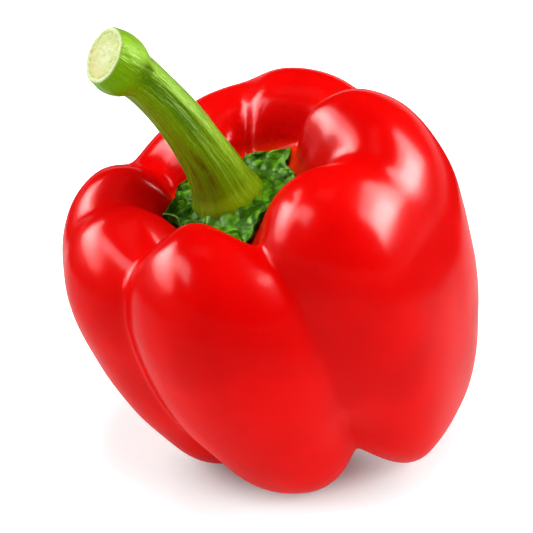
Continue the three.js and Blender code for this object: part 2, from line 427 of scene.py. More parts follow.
@dataclass(frozen=True)
class SkinFinish:
    """Waxy skin: matte red flesh under a thin clear glossy layer, with a fine orange-peel relief.

    Depths are in metres, and scales are repeats in a metre.
    """

    red: Colour = (0.55, 0.0005, 0.0004)
    bright: Colour = (0.64, 0.0013, 0.0007)
    patch_scale: float = 45.0
    warm: Colour = (0.74, 0.050, 0.002)
    warm_share: float = 0.7
    roughness: float = 0.30
    roughness_spread: float = 0.1
    roughness_scale: float = 220.0
    specular: float = 0.0
    coat: float = 0.30
    coat_roughness: float = 0.19
    coat_index: float = 1.2
    wave_scale: float = 160.0
    wave_depth: float = 0.00014
    wave_strength: float = 0.5
    peel_scale: float = 1000.0
    peel_depth: float = 0.00012

    def material(self) -> bpy.types.Material:
        """Build the material."""
        graph = Graph("pepper_skin")
        place = graph.place()
        patches = graph.noise(place, self.patch_scale, 3.0).between(0.35, 0.65)
        colour = graph.blend(patches, self.red, self.bright)
        colour = graph.blend(graph.mark("hollow") * self.warm_share, colour, self.warm)
        relief = graph.bump(graph.noise(place, self.wave_scale, 2.0), self.wave_depth, self.wave_strength)
        relief = graph.bump(graph.noise(place, self.peel_scale, 2.0), self.peel_depth, 1.0, relief)
        uneven = graph.noise(place, self.roughness_scale, 3.0) - 0.5
        return graph.finish({
            "Base Color": colour,
            "Roughness": uneven * self.roughness_spread + self.roughness,
            "Normal": relief,
            "Specular IOR Level": self.specular,
            "Coat Weight": self.coat,
            "Coat Roughness": self.coat_roughness,
            "Coat IOR": self.coat_index,
        })


@dataclass(frozen=True)
class StalkFinish:
    """Green ribbed stalk with long streaks, a painted shade band and a painted lit band, and the pale face of
    its cut end.

    A pair of scales is for the marks that go round the stalk and for the one that goes along it.
    """

    painted_shade_band: Colour = (0.050, 0.125, 0.0008)
    green: Colour = (0.115, 0.240, 0.0008)
    light: Colour = (0.230, 0.440, 0.0120)
    olive: Colour = (0.135, 0.155, 0.0010)
    yellow: Colour = (0.200, 0.290, 0.0010)
    brown: Colour = (0.090, 0.050, 0.0020)
    flesh: Colour = (0.41, 0.45, 0.17)
    pith: Colour = (0.49, 0.51, 0.27)
    edge: Colour = (0.45, 0.51, 0.26)
    vein: Colour = (0.27, 0.31, 0.05)
    blush: Colour = (0.54, 0.34, 0.17)
    streak_scale: tuple[float, float] = (2.2, 0.9)
    fibre_scale: tuple[float, float] = (12.0, 2.0)
    fibre_share: float = 0.3
    fibre_depth: float = 0.00015
    rib_scale: tuple[float, float] = (9.0, 0.9)
    rib_depth: float = 0.0006
    relief_strength: float = 0.6
    speck_scale: float = 1600.0
    speck_share: float = 0.25
    grain_scale: float = 1400.0
    roughness: float = 0.32
    roughness_fibres: float = 0.12
    roughness_cut: float = 0.25
    sheen: Colour = (0.75, 1.0, 0.35)
    specular: float = 0.03

    def material(self) -> bpy.types.Material:
        """Build the material."""
        graph = Graph("pepper_stalk")
        fibres = graph.noise(graph.along(self.fibre_scale), 1.0, 3.0, 0.6)
        colour = graph.blend(graph.mark("cut"), self.side_colour(graph, fibres), self.face_colour(graph))
        ribs = graph.noise(graph.along(self.rib_scale), 1.0, 2.0)
        relief = graph.bump(ribs, self.rib_depth, self.relief_strength)
        relief = graph.bump(fibres, self.fibre_depth, self.relief_strength, relief)
        rough = graph.mark("cut") * self.roughness_cut + fibres * self.roughness_fibres
        return graph.finish({
            "Base Color": colour,
            "Roughness": rough + self.roughness,
            "Normal": relief,
            "Specular IOR Level": self.specular,
            "Specular Tint": self.sheen,
        })

    def side_colour(self, graph: Graph, fibres: Num) -> bpy.types.NodeSocket:
        """Colour of the side: greens by the piece's marks, with painted shade and a painted lit band, broken
        up by streaks, fibres and specks.
        """
        streaks = graph.noise(graph.along(self.streak_scale), 1.0, 3.0, 0.5)
        specks = graph.noise(graph.place(), self.speck_scale, 2.0).between(0.5, 0.8)
        colour = graph.blend(graph.mark("olive") * streaks.between(0.1, 0.6), self.green, self.olive)
        colour = graph.blend(graph.mark("foot"), colour, self.yellow)
        # painted light: a pale lit band down the stalk, streaked by the fibres
        colour = graph.blend(graph.mark("lit") * fibres.between(0.25, 0.6), colour, self.light)
        # painted shade: a band down the stalk's shadow side and in the split behind the knuckle
        colour = graph.blend(graph.mark("shade"), colour, self.painted_shade_band)
        # the same pale colour for the real paler fibres and specks
        colour = graph.blend(fibres.between(0.5, 0.75) * self.fibre_share, colour, self.light)
        colour = graph.blend(graph.mark("brown") * streaks.between(0.25, 0.5), colour, self.brown)
        return graph.blend(specks * self.speck_share, colour, self.light)

    def face_colour(self, graph: Graph) -> bpy.types.NodeSocket:
        """Colour of the cut face: pith in the middle, flesh round it, a ring of veins and a pale edge."""
        ring = graph.mark("ring")
        grain = graph.noise(graph.place(), self.grain_scale, 4.0)
        face = graph.blend(ring.between(0.15, 0.7), self.pith, self.flesh)
        face = graph.blend(graph.mark("blush") * grain.between(0.35, 0.6), face, self.blush)
        face = graph.blend(ring.between(0.72, 0.80) * grain.between(0.4, 0.6), face, self.vein)
        return graph.blend(ring.between(0.82, 0.87), face, self.edge)


@dataclass(frozen=True)
class CalyxFinish:
    """Dark green crinkled leaf, with painted shade in the creases between its blisters and painted light on
    their crests and on the rim.
    """

    shade: Colour = (0.020, 0.070, 0.0015)
    green: Colour = (0.060, 0.190, 0.0040)
    crest: Colour = (0.130, 0.340, 0.0180)
    blotch_scale: float = 420.0
    blotch_depth: float = 0.0003
    relief_strength: float = 0.5
    roughness: float = 0.4
    roughness_spread: float = 0.15
    sheen: Colour = (0.85, 1.0, 0.7)
    specular: float = 0.02

    def material(self) -> bpy.types.Material:
        """Build the material."""
        graph = Graph("pepper_calyx")
        blotches = graph.noise(graph.place(), self.blotch_scale, 4.0, 0.6)
        crest = graph.mark("crest")
        # painted shade in the creases between blisters, painted light on the blister tops and rim
        colour = graph.blend(crest.between(0.15, 0.7), self.shade, self.green)
        colour = graph.blend(crest.between(0.55, 1.0) * blotches.between(0.35, 0.6), colour, self.crest)
        return graph.finish({
            "Base Color": colour,
            "Roughness": blotches * self.roughness_spread + self.roughness,
            "Normal": graph.bump(blotches, self.blotch_depth, self.relief_strength),
            "Specular IOR Level": self.specular,
            "Specular Tint": self.sheen,
        })


@dataclass(frozen=True)
class FloorFinish:
    """Plain near-white studio floor that glows a little as painted light, except where the pepper stands, so
    that its shadow shows only round its foot.

    Round the pepper its colours lean to blue, against the red light that the skin throws on it. Distances
    are in metres from the middle of the shadow, after stretching.
    """

    near: Colour = (0.74, 0.93, 0.93)
    far: Colour = (0.93, 0.93, 0.93)
    glow_near: Colour = (0.71, 0.85, 0.85)
    glow: float = 0.66
    middle: Triple = (0.004, -0.011, 0.0)
    stretch: Triple = (1.1, 1.8, 1.0)
    glow_start: float = 0.006
    glow_full: float = 0.034
    far_start: float = 0.16
    far_full: float = 0.45
    grain_scale: float = 60.0
    roughness: float = 0.6
    roughness_spread: float = 0.05

    def material(self) -> bpy.types.Material:
        """Build the material."""
        graph = Graph("studio_floor")
        distance = graph.away_from(self.middle, self.stretch)
        # painted light: the glow lightens the floor everywhere but in this patch round the pepper's foot
        shadow = 1 - distance.between(self.glow_start, self.glow_full)
        far = distance.between(self.far_start, self.far_full)
        glow = graph.blend(shadow, self.glow_near, BLACK)
        grain = graph.noise(graph.place(), self.grain_scale, 2.0)
        return graph.finish({
            "Base Color": graph.blend(far, self.near, self.far),
            "Roughness": grain * self.roughness_spread + self.roughness,
            "Specular IOR Level": 0.0,
            "Emission Color": graph.blend(far, glow, WHITE),
            "Emission Strength": self.glow,
        })


# ---------------------------------------------------------------- the fruit


@dataclass(frozen=True)
class Side:
    """How one side of the fruit departs from its half outline, in millimetres."""

    at: float
    rise: float
    shoulder: float
    belly: float
    tip: float
    drop: float


@dataclass(frozen=True)
class Fold:
    """A furrow between lobes: directions and depths along the outline, half width and softness."""

    at: tuple[float, ...]
    reach: float
    soft: float
    depth: tuple[float, ...]


@dataclass(frozen=True)
class Foot:
    """How far a lobe tip is set back and down to reach the ground, in millimetres."""

    at: float
    back: float
    down: float


@dataclass
class Fruit:
    """The lobed fruit. Its sizes are those of the CAD part, in millimetres and degrees."""

    finish: SkinFinish = SkinFinish()
    rows: int = 250
    columns: int = 390
    measured_grid: tuple[int, int] = (160, 240)
    step: float = 0.002
    lean_left: float = 20.0
    lean_front: float = 4.0
    flat_cut: float = 0.5
    outline: tuple[tuple[float, float], ...] = (
        (0, 60.5), (8, 60), (14, 62.5), (18.5, 69), (25.5, 75), (34.5, 74.5), (42, 66.5), (45.5, 55),
        (45.3, 42.5), (42.5, 29.5), (37.5, 17), (30, 6), (20, 1), (10.5, 4), (4.5, 8.5), (0, 9.5),
    )
    sides: tuple[Side, ...] = (
        Side(-155, -1.5, -0.3, 0.3, 5.2, 3),
        Side(-105, -0.8, 1, 1, 2, 2.5),
        Side(-58, -1.5, 1, 0, 3, 5),
        Side(-22, -1.8, 0, -3, 1, 5.5),
        Side(15, 0.3, -4, -3, 2, 2),
        Side(65, -2, -3, -2, 0, 0),
        Side(115, -4.8, -3, -2, 0, 0),
        Side(167, -0.9, -2.5, -0.5, 1, 0),
    )
    regions: dict[str, tuple[float, float]] = field(default_factory=lambda: {
        "rise": (0.28, 0.13), "shoulder": (0.28, 0.13), "belly": (0.5, 0.17), "tip": (0.76, 0.13),
        "drop": (0.82, 0.14),
    })
    fade_radius: float = 20.0
    core_top: tuple[float, float] = (26, 56)
    core_foot: tuple[float, float] = (24, 24)
    fold_places: tuple[float, ...] = (0, 0.16, 0.3, 0.55, 0.85, 1)
    depth_places: tuple[float, ...] = (0, 0.1, 0.18, 0.27, 0.4, 0.6, 0.76, 0.88, 1)
    folds: tuple[Fold, ...] = (
        Fold((-86, -85, -81, -75, -76, -76), 30, 0.08, (0, 4, 8, 10.5, 8.5, 6.5, 9.5, 9.5, 0)),
        Fold((54, 51, 41, 37, 32, 32), 38, 0.12, (0, 4, 7, 9, 5, 2.5, 8, 8, 0)),
        Fold((146, 146, 144, 138, 130, 130), 38, 0.15, (0, 4, 7, 8, 4, 2.5, 8, 8, 0)),
        Fold((-122, -124, -133, -137, -143, -143), 34, 0.06, (0, 4, 8, 9, 7, 5, 9, 8, 0)),
        Fold((-32, -30, -26, -26, -26, -26), 24, 0.2, (0, 2, 4, 4, 1.8, 0, 0, 0, 0)),
        Fold((88, 88, 88, 88, 88, 88), 20, 0.2, (0, 2, 3, 2, 0.3, 0, 0, 0, 0)),
        Fold((-164, -164, -168, -168, -168, -168), 20, 0.2, (0, 2, 3.5, 3.5, 1, 0, 0, 0, 0)),
    )
    feet: tuple[Foot, ...] = (
        Foot(-160, -6, -3.3), Foot(-105, 0, 0.9), Foot(-45, 5.5, 5.6), Foot(15, 4, 7), Foot(60, 0, 6),
        Foot(110, 0, 7.4), Foot(165, -3.5, -2.6),
    )
    foot_start: float = 0.5
    foot_full: float = 0.82
    hollow_offset: tuple[float, float] = (-3.4, -0.7)
    hollow_end: float = 0.3
    hollow_edge: float = 0.19
    hollow_soft: float = 0.10
    pole_soft: float = 0.05
    ripples: tuple[Ripple, ...] = (Ripple(26.0, 0.16, 14, 3), Ripple(9.0, 0.024, 16, 4))
    pleat_height: float = 0.35
    pleat_count: int = 15
    pleat_wander: tuple[float, int] = (60.0, 3)
    pleat_place: tuple[float, float] = (0.16, 0.07)
    pleat_back: tuple[float, float] = (95.0, 60.0)
    pleat_all_round: float = 0.35

    def __post_init__(self) -> None:
        """Work out the lean, and where the leaning fruit stands in the frame."""
        a, b = math.radians(self.lean_front), math.radians(-self.lean_left)
        front = np.array([[1, 0, 0], [0, math.cos(a), -math.sin(a)], [0, math.sin(a), math.cos(a)]])
        left = np.array([[math.cos(b), 0, math.sin(b)], [0, 1, 0], [-math.sin(b), 0, math.cos(b)]])
        self.lean = front @ left
        place, angle = self.grid(*self.measured_grid)
        loose = self.skin(place, angle) @ self.lean.T
        low, high = loose.min((0, 1)), loose.max((0, 1))
        box = np.array([list(corner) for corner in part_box("fruit")]) / MM
        middle = (box[0] + box[1] - low - high) / 2
        self.shift = np.array([middle[0], middle[1], -low[2] - self.flat_cut])

    @staticmethod
    def grid(rows: int, columns: int) -> tuple[np.ndarray, np.ndarray]:
        """Even grid of places along the outline and directions round the axis."""
        place = np.linspace(0, 1, rows)[:, None] + np.zeros(columns)
        angle = np.zeros((rows, 1)) + np.arange(columns) * (360 / columns) - 180
        return place, angle

    def side(self, place: np.ndarray, angle: np.ndarray) -> tuple[np.ndarray, np.ndarray]:
        """Radius and height before the furrows: the outline plus each side's own growth.

        Args:
            place: Places along the outline, 0 to 1.
            angle: Directions in degrees.

        Returns:
            Radius and height.
        """
        points = np.array(self.outline, float)
        mirror = np.array([-1.0, 1.0])
        curve = curve_through(points, points[1] * mirror, points[-2] * mirror, place)
        at = np.array([s.at for s in self.sides], float)
        grown = {}
        for name, region in self.regions.items():
            amounts = np.array([getattr(s, name) for s in self.sides])
            grown[name] = round_turn(at, amounts, angle) * bell(place, *region)
        radius, height = curve[..., 0], curve[..., 1]
        fade = np.clip(radius / self.fade_radius, 0, 1)
        radius = radius + fade * (grown["shoulder"] + grown["belly"] + grown["tip"])
        return radius, height + grown["rise"] - grown["drop"]

    def furrow(self, place: np.ndarray, angle: np.ndarray) -> np.ndarray:
        """Depth of all furrows: each is its depth along the outline times (1 - rounded distance)^2."""
        total = np.zeros(np.broadcast(place, angle).shape)
        for fold in self.folds:
            middle = through(np.array(self.fold_places), np.array(fold.at), place)
            off = np.abs((angle - middle + 540) % 360 - 180) / fold.reach
            rounded = (np.hypot(off, fold.soft) - fold.soft) / (math.hypot(1, fold.soft) - fold.soft)
            depth = through(np.array(self.depth_places), np.array(fold.depth), place)
            total = total + depth * np.clip(1 - rounded, 0, 1) ** 2
        return total

    def skin(self, place: np.ndarray, angle: np.ndarray) -> np.ndarray:
        """Points of the skin in the fruit's upright frame, in millimetres.

        The furrows press the side towards an upright core line, the stem hollow is moved off the axis,
        and the lobe tips are set back and down.

        Args:
            place: Places along the outline, 0 to 1.
            angle: Directions in degrees.

        Returns:
            Points, with x, y and z on the last axis.
        """
        radius, height = self.side(place, angle)
        core_height = np.clip(height, self.core_foot[1], self.core_top[1])
        share = (core_height - self.core_foot[1]) / (self.core_top[1] - self.core_foot[1])
        core_radius = self.core_foot[0] + share * (self.core_top[0] - self.core_foot[0])
        pressed = self.furrow(place, angle) / np.hypot(radius - core_radius, height - core_height)
        radius = radius + pressed * (core_radius - radius)
        height = height + pressed * (core_height - height)
        turn = np.radians(angle)
        points = np.stack([radius * np.cos(turn), radius * np.sin(turn), height], -1)
        in_hollow = 1 - smooth(place / self.hollow_end)
        points[..., :2] += in_hollow[..., None] * np.array(self.hollow_offset)
        at = np.array([f.at for f in self.feet], float)
        back = round_turn(at, np.array([f.back for f in self.feet]), angle)
        down = round_turn(at, np.array([f.down for f in self.feet]), angle)
        foot = smooth((place - self.foot_start) / (self.foot_full - self.foot_start))
        foot = foot * smooth((1 - place) / (1 - self.foot_full))
        shift = np.stack([np.zeros_like(back), back, -down], -1) * foot[..., None]
        return points + shift @ self.lean

    def normal(self, place: np.ndarray, angle: np.ndarray) -> np.ndarray:
        """Outward unit normals of the skin, from two small steps along it."""
        along = self.skin(place + self.step, angle) - self.skin(place - self.step, angle)
        across = self.skin(place, angle + 0.5) - self.skin(place, angle - 0.5)
        return unit(np.cross(along, across))

    def stand(self, points: np.ndarray) -> np.ndarray:
        """Take points from the upright frame in millimetres to the leaning place in metres."""
        return (points @ self.lean.T + self.shift) * MM

    def build(self) -> bpy.types.Object:
        """Build the fruit.

        Returns:
            The dressed piece.
        """
        place, angle = self.grid(self.rows, self.columns)
        points = self.skin(place, angle)
        normal = self.normal(np.clip(place, 2 * self.step, 1 - 2 * self.step), angle)
        off_poles = smooth(place / self.pole_soft) * smooth((1 - place) / self.pole_soft)
        height = sum(ripple.at(points) for ripple in self.ripples)
        height = (height + self.pleats(place, angle)) * off_poles
        rings = self.stand(points + normal * height[..., None])
        rings[..., 2] = np.maximum(rings[..., 2], 0.0)
        marks = {"hollow": smooth((self.hollow_edge - place) / self.hollow_soft)}
        piece = mesh_object("fruit_skin", rings, Closing.POLES, marks)
        return dress(piece, self.finish.material(), "fruit")

    def pleats(self, place: np.ndarray, angle: np.ndarray) -> np.ndarray:
        """Shallow pleats that run down the wall of the stem hollow, strongest at its back."""
        back, spread = self.pleat_back
        wander, turns = self.pleat_wander
        share = bell((angle - back + 540) % 360 - 180, 0, spread) + self.pleat_all_round
        wave = np.sin(np.radians(angle * self.pleat_count + wander * np.sin(np.radians(angle * turns))))
        return self.pleat_height * bell(place, *self.pleat_place) * share * wave


# ---------------------------------------------------------------- the stem


@dataclass(frozen=True)
class Rib:
    """Ribs round the stalk: number, height as a share of its radius, twist and phase in radians."""

    count: int
    height: float
    twist: float
    phase: float


@dataclass
class Stem:
    """The stalk from its flared foot to the thick cut end, in the fruit's upright frame."""

    fruit: Fruit
    finish: StalkFinish = StalkFinish()
    rows: int = 150
    columns: int = 144
    cap_rows: int = 26
    line: tuple[Triple, ...] = (
        (-4.0, -1.2, 59.8), (-4.8, -1.1, 72), (-6.9, -1.7, 84.1), (-10.4, -3.2, 95.8), (-14.7, -6.5, 105.6),
    )
    radius: Keys = (
        (0, 7.2), (0.025, 8), (0.06, 7.9), (0.13, 6.7), (0.3, 5.4), (0.5, 4.9), (0.7, 4.6), (0.785, 4.75),
        (0.825, 5.5), (0.87, 6.4), (0.93, 6.7), (1, 6.2),
    )
    cut_normal: Triple = (-0.524, -0.35, 0.782)
    cut_share: float = 0.2
    bevel: float = 0.5
    bevel_share: float = 0.08
    bevel_rows: int = 6
    dish_depth: float = 0.28
    dish_edge: tuple[float, float] = (0.9, 0.15)
    vein_height: float = 0.16
    vein_ring: tuple[float, float] = (0.74, 0.06)
    pith_depth: float = 0.3
    pith_width: float = 0.1
    grain: Ripple = Ripple(2.6, 0.09, 14, 5)
    grain_scale: float = 9.0
    ribs: tuple[Rib, ...] = (Rib(5, 0.045, 1.5, 1.2), Rib(11, 0.018, -2.0, 0.5), Rib(23, 0.008, 3.0, 0.0))
    slit_turn: float = -0.57
    slit_place: float = 0.82
    slit_depth: float = 0.5
    lumps: Ripple = Ripple(3.0, 0.012, 12, 8)
    lump_scale: tuple[float, float] = (6.0, 0.3)

    def centre(self, s: np.ndarray) -> np.ndarray:
        """Centre line at places 0 to 1."""
        points = np.array(self.line, float)
        return curve_through(points, 2 * points[0] - points[1], 2 * points[-1] - points[-2], s)

    def sections(self, s: np.ndarray) -> tuple[np.ndarray, np.ndarray, np.ndarray]:
        """Unit directions of each cross-section: along the stem, across it, and the third one."""
        along = unit(self.centre(np.minimum(s + 0.01, 1)) - self.centre(np.maximum(s - 0.01, 0)))
        foot = (1 - smooth(s / self.cut_share))[:, None]
        along = along + foot * (UP - along)
        end = smooth((s - 1 + self.cut_share) / self.cut_share)[:, None]
        along = unit(along + end * (np.array(self.cut_normal) - along))
        across = unit(np.cross(BACK, along))
        return along, across, np.cross(along, across)

    def outline(self, s: np.ndarray, turn: np.ndarray) -> np.ndarray:
        """Radius at places and turns: the key radii, times 1 plus the ribs' cosines, less the split."""
        ribs = sum(r.height * np.cos(r.count * turn + r.phase + r.twist * s) for r in self.ribs)
        ribs = 1 + ribs * (1 - 0.8 * smooth((s - 0.76) / 0.12)) * smooth((s + 0.02) / 0.25)
        return through_keys(self.radius, s) * ribs - self.slit_depth * self.slit(s, turn)

    def slit(self, s: np.ndarray, turn: np.ndarray) -> np.ndarray:
        """Narrow split behind the knuckle, 0 to 1."""
        off = s - self.slit_place
        wander = 0.03 * np.sin(60 * s) + 1.2 * off
        return bell(wrapped(turn - self.slit_turn + wander), 0, 0.06) * smooth(1 - np.abs(off) / 0.075)

    def cut_profile(self) -> tuple[np.ndarray, np.ndarray, np.ndarray]:
        """Profile of the cut end from its rim to its middle: a rounded edge, then a shallow dish with a ring.

        Returns:
            Share of the radius, height above the cut plane and share of the grain, for each row.
        """
        turn_in = np.linspace(0, np.pi / 2, self.bevel_rows + 1)[1:]
        edge = 1 - self.bevel_share * (1 - np.cos(turn_in))
        flat = np.linspace(1 - self.bevel_share, 0.0, self.cap_rows)[1:]
        r = np.concatenate([edge, flat])
        start, soft = self.dish_edge
        dish = self.dish_depth * smooth((start - flat) / soft)
        dish = dish - self.vein_height * bell(flat, *self.vein_ring)
        dish = dish + self.pith_depth * bell(flat, 0.0, self.pith_width)
        height = self.bevel * np.concatenate([np.sin(turn_in), np.ones(len(flat))])
        height[len(edge):] -= dish
        rough = smooth((1 - self.bevel_share - r) / 0.1) * smooth(r / 0.15)
        return r, height, rough

    def build(self) -> bpy.types.Object:
        """Build the stem.

        Returns:
            The dressed piece.
        """
        turn = np.arange(self.columns) * (2 * np.pi / self.columns)
        s = np.linspace(0, 1, self.rows)
        along, across, other = self.sections(s)
        spokes = across[:, None] * np.cos(turn)[:, None] + other[:, None] * np.sin(turn)[:, None]
        around, lengthways = self.lump_scale
        lumps = self.lumps.at(spokes * around + self.centre(s)[:, None] * lengthways)
        size = self.outline(s[:, None] + 0 * turn, turn + 0 * s[:, None]) * (1 + lumps)
        stalk = self.centre(s)[:, None] + spokes * size[..., None]

        r, height, rough = self.cut_profile()
        uneven = rough[:, None] * self.grain.at(spokes[-1] * r[:, None, None] * self.grain_scale)
        face = self.centre(s[-1:]) + spokes[-1] * (size[-1] * r[:, None])[..., None]
        face = face + along[-1] * (height[:, None] + uneven)[..., None]

        foot = np.repeat(self.centre(s[:1]), self.columns, 0)[None]
        rings = np.concatenate([face[::-1], stalk[::-1], foot])
        places = np.concatenate([np.ones(len(r)), s[::-1], [0]])[:, None]
        ring = np.concatenate([r[::-1], np.ones(self.rows + 1)])[:, None]
        cut = np.concatenate([smooth((1 - r[::-1]) / (0.7 * self.bevel_share)), np.zeros(self.rows + 1)])
        marks = self.side_marks(places, turn) | self.end_marks(ring, cut[:, None], turn)
        piece = mesh_object("stem_stalk", self.fruit.stand(rings), Closing.POLES, marks)
        return dress(piece, self.finish.material(), "stem")

    def side_marks(self, s: np.ndarray, turn: np.ndarray) -> dict[str, np.ndarray]:
        """Where the stalk's side carries painted shade (a band down its shadow side, and the split), painted
        light (the lit band), olive, yellow at its foot, or brown.

        Args:
            s: Places along the stalk, one row each.
            turn: Turns round it, in radians.

        Returns:
            The marks, each 0 to 1, with the place itself as along.
        """
        # painted shade: a band down the stalk's shadow side; the split below gets it too
        painted_shade_band = bell(wrapped(turn + 0.96), 0, 0.34) * smooth((s - 0.3) / 0.25) * smooth((0.93 - s) / 0.1)
        streak = bell(wrapped(turn + 1.57 + 0.5 * (s - 0.27)), 0, 0.12) * bell(s, 0.27, 0.1)
        under_knuckle = bell(s, 0.88, 0.07) * bell(wrapped(turn + 2.6), 0, 0.6)
        return {
            "along": s * 10 + 0 * turn,
            "shade": np.clip(painted_shade_band + self.slit(s, turn), 0, 1),
            # painted light: the lit band
            "lit": bell(wrapped(turn + 0.36), 0, 0.42) * smooth((s + 0.1) / 0.4),
            "olive": bell(wrapped(turn + 2.2), 0, 0.75) * smooth((0.95 - s) / 0.1),
            "foot": smooth((0.22 - s) / 0.2) + 0 * turn,
            "brown": np.clip(streak + 0.6 * under_knuckle, 0, 1),
        }

    @staticmethod
    def end_marks(ring: np.ndarray, cut: np.ndarray, turn: np.ndarray) -> dict[str, np.ndarray]:
        """Where the cut face is, how far out on it, and where it is browned.

        Args:
            ring: Share of the radius, one row each.
            cut: 1 on the face and 0 on the side.
            turn: Turns round it, in radians.

        Returns:
            The marks.
        """
        return {
            "turn_x": np.cos(turn) * ring,
            "turn_y": np.sin(turn) * ring,
            "cut": cut + 0 * turn,
            "ring": ring + 0 * turn,
            "blush": ring**2 * smooth(0.2 - np.cos(turn)) * cut,
        }


def wrapped(turn: np.ndarray) -> np.ndarray:
    """Angle brought between minus and plus half a turn, in radians."""
    return (turn + np.pi) % (2 * np.pi) - np.pi


# ---------------------------------------------------------------- the calyx


@dataclass(frozen=True)
class BlisterRing:
    """Blisters that stand side by side round the collar: place across it, number, radius in millimetres."""

    at: float
    count: int
    radius: float


@dataclass
class Calyx:
    """The blistered collar between the stem's foot and the floor and wall of the stem hollow."""

    fruit: Fruit
    finish: CalyxFinish = CalyxFinish()
    columns: int = 480
    steps: int = 64
    inner: float = 0.074
    foot_centre: Triple = (-4.1, -1.3, 60.1)
    foot_radius: float = 7.8
    foot_share: float = 0.5
    rim: Keys = (
        (-160, 0.187), (-135, 0.152), (-110, 0.165), (-90, 0.148), (-70, 0.150), (-40, 0.130), (-10, 0.143),
        (25, 0.120), (75, 0.142), (95, 0.128), (130, 0.168), (165, 0.150),
    )
    thick: float = 0.7
    lift: float = 0.35
    lip: float = 1.0
    lip_end: float = 0.3
    edge_start: float = 0.8
    edge_lift: float = 0.3
    edge_calm: float = 0.6
    edge_thinning: float = 0.5
    corner_start: float = 0.135
    corner_soft: float = 0.04
    corner_lift: float = 0.4
    fine: Ripple = Ripple(1.5, 1.0, 18, 11)
    fine_height: float = 0.03
    crest_shares: tuple[float, float, float, float] = (0.15, 0.7, 0.15, 0.2)
    seed: int = 21
    spread_round: float = 0.3
    spread_across: float = 0.07
    radius_range: tuple[float, float] = (0.8, 1.2)
    height_range: tuple[float, float] = (0.6, 1.0)
    blister_height: float = 1.15
    blisters: tuple[BlisterRing, ...] = (
        BlisterRing(0.1, 17, 1.6), BlisterRing(0.38, 20, 1.6), BlisterRing(0.64, 25, 1.4),
        BlisterRing(0.88, 34, 1.1),
    )

    def rim_place(self, angle: np.ndarray) -> np.ndarray:
        """Outer edge along the fruit's outline: straight runs between the keys, so that it is pointed."""
        at, place = np.array(self.rim).T
        return np.interp(angle, at, place, period=360)

    def surface(self, v: np.ndarray, angle: np.ndarray) -> tuple[np.ndarray, np.ndarray]:
        """Where the collar lies: a ring round the stem's foot that eases over into the hollow's skin.

        Args:
            v: Share of the way from the stem to the rim.
            angle: Directions in degrees.

        Returns:
            Points and outward unit normals.
        """
        place = self.inner + (self.rim_place(angle) - self.inner) * v
        skin, normal = self.fruit.skin(place, angle), self.fruit.normal(place, angle)
        turn = np.radians(angle)
        spoke = np.stack([np.cos(turn), np.sin(turn), 0 * turn], -1)
        foot = np.array(self.foot_centre) + self.foot_radius * spoke
        share = smooth(v / self.foot_share)[..., None]
        return foot + share * (skin - foot), unit(UP + share * (normal - UP))

    def relief(self, floor: np.ndarray, rng: np.random.Generator) -> np.ndarray:
        """Height of the blisters: the highest of many domes, each sqrt(1 - (distance / radius)^2).

        Args:
            floor: Points that the collar lies on.
            rng: Source of each blister's place and size.

        Returns:
            Heights of 0 to about 1.
        """
        total = np.zeros(floor.shape[:2])
        for ring in self.blisters:
            moved = rng.uniform(-self.spread_round, self.spread_round, ring.count)
            angle = (np.arange(ring.count) + moved) * (360 / ring.count) - 180
            across = ring.at + rng.uniform(-self.spread_across, self.spread_across, ring.count)
            middles = self.surface(across, angle)[0]
            radius = ring.radius * rng.uniform(*self.radius_range, ring.count)
            tall = rng.uniform(*self.height_range, ring.count)
            for middle, reach, height in zip(middles, radius, tall):
                near = 1 - (np.linalg.norm(floor - middle, axis=-1) / reach) ** 2
                total = np.maximum(total, height * np.sqrt(np.clip(near, 0, 1)))
        return total

    def build(self) -> bpy.types.Object:
        """Build the calyx.

        The top runs from a lip round the stem's foot down to the hollow's floor and up its wall to a
        pointed rim.

        Returns:
            The dressed piece.
        """
        angle = np.arange(self.columns) * (360 / self.columns) - 180
        v = np.linspace(0, 1, self.steps)[:, None]
        rim = self.rim_place(angle)
        floor, normal = self.surface(v + 0 * angle, angle + 0 * v)

        blisters = self.relief(floor, np.random.default_rng(self.seed))
        fine = self.fine.at(floor)
        edge = smooth((v - self.edge_start) / (1 - self.edge_start))
        lip = 1 - smooth(v / self.lip_end)
        corner = smooth((rim - self.corner_start) / self.corner_soft)
        height = self.lift + self.thick + self.lip * lip + self.fine_height * fine
        height = height + self.blister_height * blisters * (1 - self.edge_calm * edge)
        height = height + edge * (self.edge_lift + self.corner_lift * corner)
        top = floor + normal * height[..., None]
        under = floor + normal * (height - self.thick * (1 - self.edge_thinning * edge))[..., None]
        rings = np.concatenate([top, under[::-1]])
        # crest mark, for painted light and shade: high on blister tops and the rim, low in the creases
        base, domes, ripples, edging = self.crest_shares
        crest = base + domes * blisters + ripples * fine + edging * edge
        # the underside gets half the mark, painted darker
        marks = {"crest": np.concatenate([crest, crest[::-1] * 0.5])}
        rings, marks = np.swapaxes(rings, 0, 1)[::-1], {name: value.T for name, value in marks.items()}
        piece = mesh_object("calyx_collar", self.fruit.stand(rings), Closing.LOOP, marks)
        return dress(piece, self.finish.material(), "calyx")


# ---------------------------------------------------------------- studio


class Sees(Enum):
    """What a lamp lights: the gloss of a surface, or its matte colour."""

    GLOSS = "gloss"
    MATTE = "matte"


